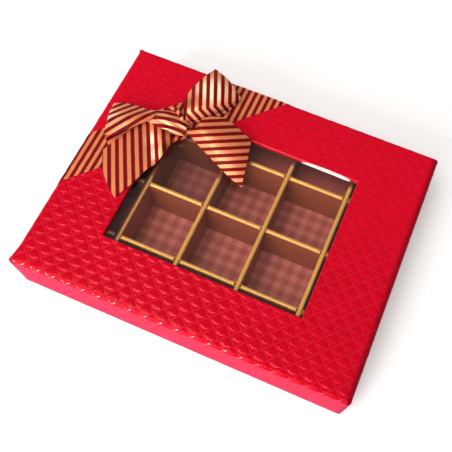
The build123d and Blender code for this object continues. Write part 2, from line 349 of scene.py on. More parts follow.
def checked_card():
    material, r = finish_named("checked_card")
    p = r.places()
    x, y, z = r.split(p)
    across = (x / CHECK_STEP).fold(0.5).step(0.235, 0.265)
    along = (y / CHECK_STEP).fold(0.5).step(0.235, 0.265)
    threads = r.grain(r.vector("MULTIPLY", p, (6.0, 1.0, 1.0)), 1.4, 2.0)
    colour = r.blend(across.at_least(along), shade(208, 118, 100), shade(190, 98, 82))
    colour = r.blend(across * along, colour, shade(170, 80, 66))
    colour = r.blend(threads.step(0.3, 0.8) * 0.18, colour, shade(120, 52, 44))
    # painted shadow of the bow: the pad in the far left cell is painted darker
    painted_bow_shadow = y.step(-5.0, 8.0) * (1.0 - x.step(-20.0, -13.0))
    colour = r.blend(painted_bow_shadow * 0.45, colour, shade(112, 50, 40))
    # beyond the far and left dividers no checks show
    rim = y.step(34.0, 36.0).at_least((-x).step(54.5, 56.0))
    colour = r.blend(rim, colour, shade(214, 104, 90))
    r.skin(colour=colour, rough=threads * 0.15 + 0.5, specular=0.4,
           normal=r.bump(threads * 0.02))
    return material


def gold_card():
    """Card that is gold along its folded top edge and brown on its walls."""
    material, r = finish_named("gold_card")
    p = r.places()
    x, y, z = r.split(p)
    grain = r.grain(p, 1.3, 4.0, 0.6)
    brushed = r.grain(r.vector("MULTIPLY", p, (0.25, 0.25, 6.0)), 1.2, 3.0)
    # painted shade: beyond the outer dividers that cross it, under the lid's border, the gold and
    # the walls are painted dark
    outside_painted_shade = x.step(GOLD_LEFT, GOLD_LEFT + 0.8) * (1.0 - x.step(GOLD_RIGHT, GOLD_RIGHT + 0.6))
    outside_painted_shade = outside_painted_shade * (1.0 - y.step(GOLD_FAR, GOLD_FAR + 3.5))
    # painted shadow of the bow: in the far left cell the gold of the folds is painted out
    right = x - LEFT_FOLD
    beyond = y + 1.0 - right * 0.243 - right * right * 0.0044
    painted_bow_shadow = beyond.step(-1.5, 3.5) * (1.0 - x.step(-5.0, -1.0))
    fold_edge = (z + grain * 0.25).step(29.25, 29.75) * outside_painted_shade * (1.0 - painted_bow_shadow)
    wall = r.blend(grain.step(0.3, 0.75), shade(174, 88, 54), shade(150, 73, 45))
    wall = r.blend(brushed.step(0.55, 0.8) * 0.3, wall, shade(204, 126, 88))
    wall = r.blend(outside_painted_shade, shade(110, 56, 44), wall)
    # the painted shadow of the bow darkens the walls there too
    wall = r.blend(painted_bow_shadow * 0.6, wall, shade(110, 56, 44))
    gold = r.blend(grain.step(0.35, 0.7), shade(255, 196, 104), shade(240, 168, 82))
    r.skin(
        colour=r.blend(fold_edge, wall, gold), metal=fold_edge * 0.35,
        rough=grain * 0.2 + 0.30, specular=0.5, normal=r.bump(grain * 0.04),
    )
    return material


def clear_film():
    """Clear film with a thin haze that mirrors what is above it."""
    material, r = finish_named("clear_film")
    p = r.places()
    ripple = r.grain(r.vector("MULTIPLY", p, (1.0, 1.0, 0.2)), 0.035, 2.0)
    dust = r.grain(p, 0.9, 2.0)
    gloss = r.node("ShaderNodeBsdfPrincipled", None, {
        "Base Color": (1.0, 0.93, 0.88, 1.0), "Metallic": 1.0,
        "Roughness": dust * 0.06 + 0.04, "Normal": r.bump(ripple * 1.2),
    })
    clear = r.node("ShaderNodeBsdfTransparent")
    haze = r.node("ShaderNodeBsdfDiffuse", None, {"Color": (0.9, 0.72, 0.62, 1.0)})
    hazy = r.node("ShaderNodeMixShader", None, {
        0: dust.step(0.45, 0.9) * 0.006 + 0.003, 1: clear, 2: haze,
    })
    edge_on = r.node("ShaderNodeLayerWeight", None, {"Blend": 0.25})
    both = r.node("ShaderNodeMixShader", None, {0: edge_on * 0.5 + 0.03, 1: hazy, 2: gloss})
    r.node("ShaderNodeOutputMaterial", None, {"Surface": both})
    return material


def white_tape():
    material, r = finish_named("white_tape")
    p = r.places()
    grain = r.grain(r.vector("MULTIPLY", p, (1.0, 5.0, 5.0)), 1.1, 3.0)
    colour = r.blend(grain.step(0.3, 0.75), shade(250, 246, 244), shade(228, 216, 212))
    # the tape is dark away from the tear
    away_from_tear = (r.split(p)[0] - 40.0).maths("ABSOLUTE").step(14.5, 16.0)
    r.skin(colour=r.blend(away_from_tear, colour, shade(96, 34, 34)),
           rough=grain * 0.2 + 0.6, normal=r.bump(grain * 0.04))
    return material


def striped_satin():
    """Gold and wine stripes across the ribbon, with a twill in the wine."""
    material, r = finish_named("striped_satin")
    weave = r.marked("weave")
    along, across, edge = r.split(weave)
    turn = math.radians(STRIPE_TURN)
    stripe = (along * math.sin(turn) - across * math.cos(turn)) / STRIPE_STEP
    run = along * math.cos(turn) + across * math.sin(turn)
    threads = r.grain(r.join(along * 1.0, across * 9.0), 0.9, 2.0, 0.5)
    wobble = r.grain(weave, 0.35, 2.0)
    wine = (stripe + wobble * 0.05 - 0.025).fold(0.5).step(0.225, 0.265)
    hatch = ((run * 0.8 + edge * 3.0) / 0.62).fold(0.5).step(0.14, 0.34)
    gold = r.blend(threads.step(0.3, 0.75), shade(252, 156, 102), shade(236, 134, 86))
    # painted highlight where this mark is above 0 and painted shade where it is below, with less
    # metal in the highlight
    painted_light = r.split(r.marked("painted_light"))[0]
    gold = r.blend(painted_light.step(0.0, 1.0), gold, shade(255, 228, 184))
    red = r.blend(hatch * 0.35, shade(104, 0, 8), shade(164, 10, 32))
    colour = r.blend(wine, gold, red)
    colour = r.blend((-painted_light).step(0.0, 1.0), colour, shade(58, 10, 8))
    bare = 1.0 - wine
    height = threads * 0.04 + hatch * wine * 0.03 + bare * 0.03
    r.skin(
        colour=colour, rough=wine * 0.10 + 0.30,
        metal=bare * (1.0 - painted_light.step(0.0, 0.9)) * 0.4 + 0.06,
        specular=0.1, coat=bare * 0.3, coat_rough=0.3, normal=r.bump(height),
    )
    return material


# Mesh writing


def mesh_piece(name, points, faces, marks, material):
    """A piece from points in millimetres, with a vector for each point carried along."""
    mesh = bpy.data.meshes.new(name)
    mesh.from_pydata([tuple(p * MM) for p in points], [], faces)
    for key, values in marks.items():
        layer = mesh.attributes.new(key, "FLOAT_VECTOR", "POINT")
        layer.data.foreach_set("vector", np.asarray(values, np.float32).ravel())
    mesh.polygons.foreach_set("use_smooth", [True] * len(mesh.polygons))
    mesh.materials.append(material)
    mesh.update()
    piece = bpy.data.objects.new(name, mesh)
    bpy.context.scene.collection.objects.link(piece)
    return piece


class Skin:
    """Patches of quads that are welded where their points meet."""

    def __init__(self):
        self.points, self.flats, self.quads, self.count = [], [], [], 0

    def patch(self, points, flats, keep=None):
        """points and flats are (rows, columns, 3) and (rows, columns, 2) arrays."""
        first = points[:5]
        facing = np.cross(first[:-1, 1:] - first[:-1, :-1], first[1:, 1:] - first[:-1, 1:])
        if facing[..., 2].sum() < 0:
            points, flats = points[:, ::-1], flats[:, ::-1]
        rows, columns = points.shape[:2]
        index = np.arange(rows * columns).reshape(rows, columns) + self.count
        quads = np.stack([index[:-1, :-1], index[:-1, 1:], index[1:, 1:], index[1:, :-1]], -1)
        if keep is not None:
            quads = quads[keep]
        self.points.append(points.reshape(-1, 3))
        self.flats.append(flats.reshape(-1, 2))
        self.quads.append(quads.reshape(-1, 4))
        self.count += rows * columns

    def welded(self):
        points, flats = np.concatenate(self.points), np.concatenate(self.flats)
        quads = np.concatenate(self.quads)
        key = np.round(points, 3) + 0.0
        _, first, where = np.unique(key, axis=0, return_index=True, return_inverse=True)
        quads = where.ravel()[quads]
        used = np.unique(quads)
        place = np.full(len(first), -1)
        place[used] = np.arange(len(used))
        quads = place[quads]
        faces = []
        for q in quads.tolist():
            short = [v for n, v in enumerate(q) if v != q[n - 1]]
            if len(set(short)) == len(short) and len(short) > 2:
                faces.append(short)
        return points[first][used], flats[first][used], faces


def face_normals(points, faces):
    """Smooth direction of each point."""
    normals = np.zeros_like(points)
    for size in (3, 4):
        some = np.array([f for f in faces if len(f) == size])
        if not len(some):
            continue
        across = np.cross(points[some[:, 2]] - points[some[:, 0]],
                          points[some[:, -1]] - points[some[:, 1 if size == 4 else 0]])
        for column in range(size):
            np.add.at(normals, some[:, column], across)
    length = np.linalg.norm(normals, axis=1, keepdims=True)
    return normals / np.maximum(length, 1e-9)


def smooth(t):
    t = np.clip(t, 0, 1)
    return t * t * (3 - 2 * t)


def quilt(flat):
    """Height of the embossing, in millimetres, at most 0, at places on the flat paper."""
    phases = flat @ np.array([QUILT_A, QUILT_B]).T - np.array(QUILT_SHIFT)
    cell = phases - np.floor(phases) - 0.5
    place = cell @ np.linalg.inv(np.array([QUILT_A, QUILT_B])).T
    x, y = place[:, 0], place[:, 1]
    near = np.sqrt((x / PAD_LONG) ** 2 + (y / PAD_SHORT) ** 2)
    far = np.sqrt((x / (PAD_LONG + 0.3)) ** 2 + (y / PAD_FAR) ** 2)
    steep = smooth((1.12 - near) / 0.30)
    gentle = np.clip(1 - far ** 2, 0, None)
    share = smooth((y + 0.5) / 1.6)
    return PAD_RISE * (steep * (1 - share) + gentle * share - 1)


def bow_out(points, faces, flats, strength):
    """Points moved along their normals by the embossing."""
    height = quilt(flats) * strength
    return points + face_normals(points, faces) * height[:, None]


def steps(low, high, size):
    count = max(1, int(round((high - low) / size)))
    return np.linspace(low, high, count + 1)


# Lid cover


# Lengths along the paper, from the flat top: over the edge, down, round the lower edge
QUARTER = EDGE * math.pi / 2
STRAIGHT = LID_TOP - EDGE - (LID_REVEAL + COVER)
UNDER = COVER + BOARD / 2 + 0.25
TURN = math.pi * (UNDER + COVER) / 2
SKIRT = QUARTER + STRAIGHT + TURN


def wall_profile(length):
    """How far out and how high the paper is at a length from the flat top, and inside the lid."""
    s = np.asarray(length, float)
    angle = np.clip(s / QUARTER, 0, 1) * math.pi / 2
    outward = EDGE * np.sin(angle)
    z = LID_TOP - EDGE * (1 - np.cos(angle))
    z = z - np.clip(s - QUARTER, 0, STRAIGHT)
    swing = np.clip((s - QUARTER - STRAIGHT) / TURN, 0, 1) * math.pi
    outward = outward - UNDER * (1 - np.cos(swing))
    z = z - COVER * np.sin(swing)
    z = z + np.clip(s - SKIRT, 0, None)
    return outward, z


def pulled_corners(points):
    """Paper that stands a little proud where it is folded at the near left and far left corners."""
    x, y, z = points.T
    inside = (np.abs(x) < LID_X - 1.2) & (np.abs(y) < LID_Y - 1.2) & (z < UNDERSIDE)
    moved = points.copy()
    # corner, pull in x and y, and reach: near left, far left
    for corner, pull, reach in (((-1, -1), (-1.9, -0.9), 11.0), ((-1, 1), (-1.6, 0.6), 4.0)):
        away = np.hypot(x - corner[0] * LID_X, y - corner[1] * LID_Y)
        share = np.clip(1 - away / reach, 0, 1) ** 1.6
        share[inside] = 0
        moved[:, 0] += pull[0] * share
        moved[:, 1] += pull[1] * share * smooth((z - 4) / 28)
    # the top droops a little towards its edges
    border = np.maximum(np.abs(x) - (TOP_X - DROOP_REACH), np.abs(y) - (TOP_Y - DROOP_REACH))
    fall = DROOP * np.clip(border / DROOP_REACH, 0, 1) ** 2
    moved[:, 2] -= fall * (z > LID_TOP - 1) * ~inside
    return moved


def make_lid_cover(material):
    pitch = 0.5
    rounding = WINDOW_EDGE
    hole = (WINDOW[0] - rounding, WINDOW[1] + rounding,
            WINDOW[2] - rounding, WINDOW[3] + rounding)

    def places(start, low, high, end):
        parts = [steps(start, low, pitch), steps(low, high, pitch), steps(high, end, pitch)]
        return np.unique(np.round(np.concatenate(parts), 6))

    xs = places(-TOP_X, hole[0], hole[1], TOP_X)
    ys = places(-TOP_Y, hole[2], hole[3], TOP_Y)
    skin = Skin()
    gx, gy = np.meshgrid(xs, ys)
    top = np.stack([gx, gy, np.full_like(gx, LID_TOP)], -1)
    mid_x, mid_y = (xs[:-1] + xs[1:]) / 2, (ys[:-1] + ys[1:]) / 2
    in_hole = (((mid_x > hole[0]) & (mid_x < hole[1]))[None, :]
               & ((mid_y > hole[2]) & (mid_y < hole[3]))[:, None])
    skin.patch(top, np.stack([gx, gy], -1), ~in_hole)

    # Side walls, from the flat top over the edge, down, and up inside
    down = np.concatenate([
        np.linspace(0, QUARTER, 9), steps(QUARTER, QUARTER + STRAIGHT, 0.62)[1:],
        QUARTER + STRAIGHT + np.linspace(0, TURN, 7)[1:],
        SKIRT + np.linspace(0, HEM, 9)[1:],
    ])
    out, z = wall_profile(down)
    mitre = np.minimum(out, EDGE - PLAN_CORNER)
    radius = np.maximum(out - mitre, 0)
    inside = down > QUARTER + STRAIGHT + TURN / 2
    mitre = np.where(inside, out, mitre)
    radius = np.where(inside, 0, radius)

    def wall(values, half, other, turned):
        """One side wall; turned gives (x, y) from along and outward."""
        shape = (len(down), len(values))
        along = values[None, :] * (half + mitre)[:, None] / half
        outward = np.broadcast_to((other + out)[:, None], shape)
        px, py = turned(along, outward)
        fx, fy = turned(np.broadcast_to(values[None, :], shape),
                        np.broadcast_to((other + down)[:, None], shape))
        pz = np.broadcast_to(z[:, None], shape)
        skin.patch(np.stack([px, py, pz], -1), np.stack([fx, fy], -1))

    wall(xs, TOP_X, TOP_Y, lambda a, o: (a, -o))
    wall(xs, TOP_X, TOP_Y, lambda a, o: (a, o))
    wall(ys, TOP_Y, TOP_X, lambda a, o: (o, a))
    wall(ys, TOP_Y, TOP_X, lambda a, o: (-o, a))

    # Corners
    fan = np.linspace(0, math.pi / 2, 7)
    for sx, sy in ((1, -1), (1, 1), (-1, 1), (-1, -1)):
        cx, cy = (TOP_X + mitre), (TOP_Y + mitre)
        px = sx * (cx[:, None] + radius[:, None] * np.sin(fan)[None, :])
        py = sy * (cy[:, None] + radius[:, None] * np.cos(fan)[None, :])
        pz = np.broadcast_to(z[:, None], px.shape)
        part = fan / (math.pi / 2)
        fx = sx * (TOP_X + down[:, None] * part[None, :])
        fy = sy * (TOP_Y + down[:, None] * (1 - part)[None, :])
        grid, flats = np.stack([px, py, pz], -1), np.stack([fx, fy], -1)
        skin.patch(grid, flats)

    # Into the window
    bend = np.linspace(0, math.pi / 2, 5)
    inward = np.concatenate([rounding * np.sin(bend), [rounding] * 3])
    lower = np.concatenate([
        LID_TOP - rounding * (1 - np.cos(bend)),
        np.linspace(LID_TOP - rounding, UNDERSIDE, 4)[1:],
    ])
    hx, hy = (hole[1] - hole[0]) / 2, (hole[3] - hole[2]) / 2
    mx, my = (hole[1] + hole[0]) / 2, (hole[3] + hole[2]) / 2
    near_zero = 1e-6
    wx = xs[(xs >= hole[0] - near_zero) & (xs <= hole[1] + near_zero)]
    wy = ys[(ys >= hole[2] - near_zero) & (ys <= hole[3] + near_zero)]
    for side in range(4):
        values, half, other = ((wx, hx, hy), (wy, hy, hx))[side % 2]
        middle = (mx, my)[side % 2]
        along = middle + (values - middle)[None, :] * ((half - inward) / half)[:, None]
        away = np.broadcast_to((other - inward)[:, None], along.shape)
        pz = np.broadcast_to(lower[:, None], along.shape)
        sign = 1 if side < 2 else -1
        if side % 2 == 0:
            grid = np.stack([along, my + sign * away, pz], -1)
        else:
            grid = np.stack([mx + sign * away, along, pz], -1)
        skin.patch(grid, grid[..., :2].copy())

    points, flats, faces = skin.welded()
    points = pulled_corners(points)
    past = np.maximum(np.abs(flats[:, 0]) - TOP_X, np.abs(flats[:, 1]) - TOP_Y)
    near = smooth((-flats[:, 1] - TOP_Y + 4) / 3)
    near = near * smooth((TOP_X + 2 - np.abs(flats[:, 0])) / 3)
    strength = 1 - 0.55 * (1 - near) * smooth((past + 4) / 4)
    strength *= 1 - 0.78 * smooth((past - 1.2) / 4.0)
    strength[points[:, 2] < LID_REVEAL + 1.2] = 0.15
    inner = (np.abs(points[:, 0]) < LID_X - 1.5) & (np.abs(points[:, 1]) < LID_Y - 1.5)
    strength[inner & (points[:, 2] < UNDERSIDE - 1)] = 0.0
    edge = np.maximum(np.abs(points[:, 0] - mx) - hx, np.abs(points[:, 1] - my) - hy)
    near_hole = (edge < 0.8) & (points[:, 2] > UNDERSIDE - 0.1)
    strength[near_hole] = 0.35 + 0.65 * np.clip(edge[near_hole] / 0.8, 0, 1)
    strength[(edge < -0.05) & (points[:, 2] > UNDERSIDE - 0.1)] = 0.1
    points = bow_out(points, faces, flats, strength)
    marks = {"flat": np.concatenate([flats, np.zeros((len(flats), 1))], 1)}
    piece = mesh_piece("lid_cover_paper", points, faces, marks, material)
    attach(piece, "lid")
    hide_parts("lid_cover")


# Ribbon


def curve_through(rows, per_span):
    """Smooth curve through control rows, given as an array whose first axis is the curve."""
    rows = np.asarray(rows, float)
    ends = np.concatenate([[2 * rows[0] - rows[1]], rows, [2 * rows[-1] - rows[-2]]])
    found = []
    for n in range(len(rows) - 1):
        p0, p1, p2, p3 = ends[n:n + 4]
        for t in np.arange(per_span) / per_span:
            found.append(0.5 * (
                2 * p1 + (p2 - p0) * t + (2 * p0 - 5 * p1 + 4 * p2 - p3) * t ** 2
                + (3 * p1 - p0 - 3 * p2 + p3) * t ** 3
            ))
    found.append(rows[-1])
    return np.array(found)


def arc_from(points, axis):
    """Length along one axis of a grid of points, from its start."""
    gaps = np.linalg.norm(np.diff(points, axis=axis), axis=-1)
    zero = np.zeros_like(np.take(gaps, [0], axis=axis))
    return np.concatenate([zero, np.cumsum(gaps, axis=axis)], axis=axis)


def cloth_faces(rows, columns):
    index = np.arange(rows * columns).reshape(rows, columns)
    return np.stack([index[:-1, :-1], index[:-1, 1:], index[1:, 1:], index[1:, :-1]],
                    -1).reshape(-1, 4).tolist()


def stripes_over(grid, edge, direction, pitch, shift, crease=None):
    """Weave marks for stripes that run in one direction as seen from above.

    crease is a place, a direction and how fast the stripes turn beyond that line.
    """
    lie = math.radians(direction)
    lift = grid[..., 2] - LID_TOP
    x, y = grid[..., 0] + LEAN_X * lift, grid[..., 1] + LEAN_Y * lift
    over = (y * math.cos(lie) - x * math.sin(lie)) * STRIPE_STEP / pitch + shift * STRIPE_STEP
    run = x * math.cos(lie) + y * math.sin(lie)
    if crease:
        (px, py), heading, turn = crease
        heading = math.radians(heading)
        beyond = (y - py) * math.cos(heading) - (x - px) * math.sin(heading)
        over = over + turn * STRIPE_STEP * np.maximum(beyond, 0)
    lean = math.radians(STRIPE_TURN)
    return np.stack([over * math.sin(lean) + run * math.cos(lean),
                     run * math.sin(lean) - over * math.cos(lean), edge], -1)


# Painted highlights (positive strength) and painted shade in hollows (negative strength) on the
# satin: x, y, reach and strength
PAINTED_LIGHT = {
    "bow_loop_right_satin": [
        (-42.5, 62.0, 9.0, 1.0), (-51.5, 50.0, 7.0, -0.60), (-44.0, 44.5, 5.0, 0.35),
        (-27.0, 68.0, 6.0, 0.30), (-40.0, 60.0, 16.0, 0.22),
    ],
    "bow_loop_left_satin": [
        (-92.5, 22.0, 6.5, 0.50), (-70.0, 32.0, 5.0, -0.25), (-84.0, 24.0, 11.0, 0.25),
    ],
    "bow_tail_left_satin": [
        (-61.5, 21.0, 5.0, 0.95), (-56.5, 11.5, 4.5, 0.75), (-57.0, 27.0, 5.0, -0.75),
        (-52.0, 17.5, 4.0, -0.75),
    ],
    "bow_tail_right_satin": [
        (-36.0, 29.0, 4.5, 0.24), (-25.5, 24.0, 4.5, 0.12), (-14.0, 19.5, 4.5, 0.04),
        (-43.5, 36.0, 4.5, -0.45),
    ],
}
# painted highlight over the whole roll of the knot
KNOT_PAINTED_LIGHT = 0.28


def lay_cloth(name, node, controls, stripes, material):
    """A ribbon piece from control points: stations outward, each from right edge to left."""
    grid = curve_through(controls, 10)
    grid = curve_through(grid.transpose(1, 0, 2), 7).transpose(1, 0, 2)
    edge = np.broadcast_to(np.linspace(-1, 1, grid.shape[1]), grid.shape[:2])
    weave = stripes_over(grid, edge, *stripes)
    # painted highlights and painted shade, summed from the table
    painted_light = np.zeros(grid.shape)
    for x, y, reach, strength in PAINTED_LIGHT[name]:
        away = np.hypot(grid[..., 0] - x, grid[..., 1] - y)
        painted_light[..., 0] += strength * np.exp(-(away / reach) ** 2)
    piece = mesh_piece(name, grid.reshape(-1, 3), cloth_faces(*grid.shape[:2]),
                       {"weave": weave.reshape(-1, 3), "painted_light": painted_light.reshape(-1, 3)}, material)
    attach(piece, "lid")
    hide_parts(node)


def on_lid(fx, fy, lift):
    """Place of a point of the flat paper on the lid, lifted off it."""
    def side(over, small=0.02):
        out, z = wall_profile(over)
        ahead, z2 = wall_profile(over + small)
        behind, z1 = wall_profile(np.maximum(over - small, 0))
        run, fall = ahead - behind, z2 - z1
        size = np.maximum(np.hypot(run, fall), 1e-9)
        return out - lift * fall / size, z + lift * run / size

    x, y = fx.copy(), fy.copy()
    z = np.full_like(fx, LID_TOP) + lift
    left, far = fx < -TOP_X, fy > TOP_Y
    out, low = side(np.maximum(-TOP_X - fx, 0))
    x = np.where(left, -TOP_X - out, x)
    z = np.where(left, low, z)
    out, low = side(np.maximum(fy - TOP_Y, 0))
    y = np.where(far, TOP_Y + out, y)
    z = np.where(far, low, z)
    return np.stack([x, y, z], -1)


def directions(degrees):
    """Unit steps ahead and to the left at an angle on the lid."""
    turn = math.radians(degrees)
    return (np.array([math.cos(turn), math.sin(turn)]),
            np.array([-math.sin(turn), math.cos(turn)]))


def make_band(material):
    """The ribbon over the far left corner, down both walls and tucked up inside the lid."""
    ahead, aside = directions(RIBBON_ANGLE)
    tucked = SKIRT + TUCK - COVER
    first = -(KNOT[0] + TOP_X + tucked) / ahead[0]
    last = (TOP_Y + tucked - KNOT[1]) / ahead[1]
    across = np.linspace(-RIBBON_WIDTH / 2, RIBBON_WIDTH / 2, 41)
    share = np.linspace(0, 1, 401)
    # the ends are cut level with the lid's lower edge
    start = first + across * aside[0] / -ahead[0]
    end = last - across * aside[1] / ahead[1]
    along = start[None, :] + (end - start)[None, :] * share[:, None]
    fx = KNOT[0] + along * ahead[0] + across[None, :] * aside[0]
    fy = KNOT[1] + along * ahead[1] + across[None, :] * aside[1]
    lift = 0.14 + 0.10 * (1 + np.sin(along * 0.35 + across[None, :] * 0.5)) / 2
    lift = lift + 0.04 * np.sin(across[None, :] * 1.1 + along * 0.08)
    grid = on_lid(fx, fy, lift)
    stripe_start = 0.6
    weave = np.stack([along + stripe_start, np.broadcast_to(across[None, :], along.shape),
                      np.zeros_like(along)], -1)
    piece = mesh_piece("ribbon_band_satin", grid.reshape(-1, 3), cloth_faces(*grid.shape[:2]),
                       {"weave": weave.reshape(-1, 3)}, material)
    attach(piece, "lid")
    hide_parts("ribbon_band")
    length = float((end - start).mean())


# Control points of the bow's pieces, in millimetres
RIGHT_LOOP = [
    [(-49.0, 39.5, 37.4), (-50.2, 41.7, 40.0), (-51.6, 44.2, 41.6),
     (-53.1, 46.6, 41.2), (-55.0, 49.8, 40.0)],
    [(-43.4, 43.2, 37.4), (-44.3, 44.8, 41.0), (-45.7, 47.2, 43.2),
     (-49.6, 51.5, 43.0), (-55.3, 58.2, 40.0)],
    [(-38.3, 48.0, 37.8), (-38.8, 49.3, 41.4), (-40.0, 51.4, 43.6),
     (-46.0, 57.9, 44.0), (-53.1, 66.6, 40.4)],
    [(-34.0, 53.2, 38.2), (-33.8, 54.4, 41.4), (-34.8, 56.5, 43.2),
     (-41.5, 64.2, 44.2), (-50.4, 73.9, 40.6)],
    [(-29.4, 59.2, 38.4), (-29.6, 60.4, 40.8), (-30.8, 62.3, 42.2),
     (-38.6, 69.4, 43.4), (-48.8, 77.8, 40.4)],
    [(-25.5, 67.1, 38.2), (-26.5, 67.9, 39.6), (-29.0, 69.6, 40.6),
     (-37.1, 75.1, 41.4), (-47.7, 80.7, 39.2)],
    [(-26.0, 66.9, 36.2), (-28.1, 68.6, 36.4), (-31.0, 70.5, 36.5),
     (-38.9, 76.3, 36.6), (-48.6, 80.3, 36.6)],
    [(-30.8, 54.8, 35.5), (-34.2, 58.0, 35.5), (-38.5, 61.6, 35.6),
     (-45.3, 66.2, 35.8), (-52.1, 69.1, 36.0)],
    [(-46.4, 39.5, 35.9), (-48.7, 41.6, 35.9), (-51.0, 43.6, 36.0),
     (-53.2, 45.3, 36.2), (-54.9, 47.0, 36.6)],
]

LEFT_LOOP = [
    [(-65.6, 38.3, 39.4), (-66.0, 35.3, 40.6), (-66.6, 32.5, 40.8), (-67.7, 30.6, 39.6)],
    [(-72.8, 36.6, 39.0), (-72.1, 31.9, 41.4), (-71.8, 27.4, 41.8), (-72.9, 23.9, 40.2)],
    [(-81.4, 36.2, 38.8), (-80.2, 29.4, 41.4), (-79.3, 22.7, 42.0), (-78.9, 16.2, 40.2)],
    [(-88.2, 35.0, 38.6), (-87.4, 27.7, 40.8), (-86.0, 20.1, 41.4), (-83.1, 10.8, 39.8)],
    [(-93.7, 33.0, 38.0), (-92.7, 26.4, 39.4), (-90.8, 19.2, 39.8), (-89.0, 10.5, 38.6)],
    [(-93.7, 32.9, 36.2), (-93.1, 27.4, 36.4), (-91.7, 20.2, 36.4), (-88.9, 10.8, 36.2)],
    [(-89.2, 33.1, 35.4), (-88.3, 26.3, 35.5), (-86.9, 18.3, 35.5), (-83.1, 6.7, 35.4)],
    [(-79.4, 35.2, 35.4), (-78.7, 29.9, 35.5), (-78.9, 25.1, 35.5), (-78.2, 18.4, 35.5)],
    [(-67.2, 38.0, 35.8), (-67.6, 35.5, 35.8), (-68.2, 33.2, 35.8), (-68.5, 30.6, 36.0)],
]

LEFT_TAIL = [
    [(-60.8, 32.5, 38.6), (-57.4, 29.7, 39.2), (-54.3, 27.3, 39.2), (-50.0, 25.0, 37.6)],
    [(-65.2, 31.2, 38.2), (-60.3, 24.0, 38.9), (-55.1, 17.5, 38.6), (-51.5, 15.0, 36.4)],
    [(-69.6, 30.8, 36.6), (-65.2, 22.4, 36.0), (-59.3, 13.9, 35.6), (-53.3, 6.7, 35.3)],
    [(-73.5, 26.7, 36.6), (-68.9, 18.2, 36.3), (-62.4, 7.8, 35.9), (-56.7, 0.1, 35.2)],
    [(-78.2, 18.7, 36.2), (-72.9, 9.6, 36.2), (-66.0, -1.2, 35.8), (-59.8, -10.4, 35.1)],
    [(-82.6, 10.2, 35.6), (-76.9, 0.7, 35.6), (-69.2, -9.7, 35.5), (-62.7, -17.3, 35.0)],
    [(-85.9, 2.5, 35.2), (-81.9, -5.8, 35.2), (-74.9, -15.0, 35.2), (-64.8, -23.2, 34.9)],
]

RIGHT_TAIL = [
    [(-46.6, 33.0, 37.2), (-46.5, 33.5, 37.6), (-46.3, 34.4, 37.6), (-45.9, 35.6, 37.0)],
    [(-40.7, 30.1, 36.9), (-40.9, 32.4, 39.5), (-40.8, 35.0, 40.2), (-40.7, 38.8, 37.6)],
    [(-33.9, 26.7, 36.9), (-34.8, 31.3, 40.6), (-36.3, 36.7, 42.2), (-40.6, 43.0, 39.5)],
    [(-25.5, 22.6, 36.9), (-27.0, 28.9, 40.4), (-29.6, 37.8, 42.2), (-35.7, 46.7, 40.2)],
    [(-17.2, 18.6, 36.9), (-19.2, 27.5, 40.0), (-21.7, 38.1, 41.4), (-27.1, 49.6, 39.8)],
    [(-8.4, 14.6, 36.7), (-10.3, 24.6, 39.2), (-12.4, 36.0, 40.2), (-17.3, 46.6, 38.8)],
    [(-0.8, 12.3, 36.1), (-2.4, 20.4, 37.6), (-4.8, 31.6, 38.0), (-8.0, 43.7, 37.0)],
]


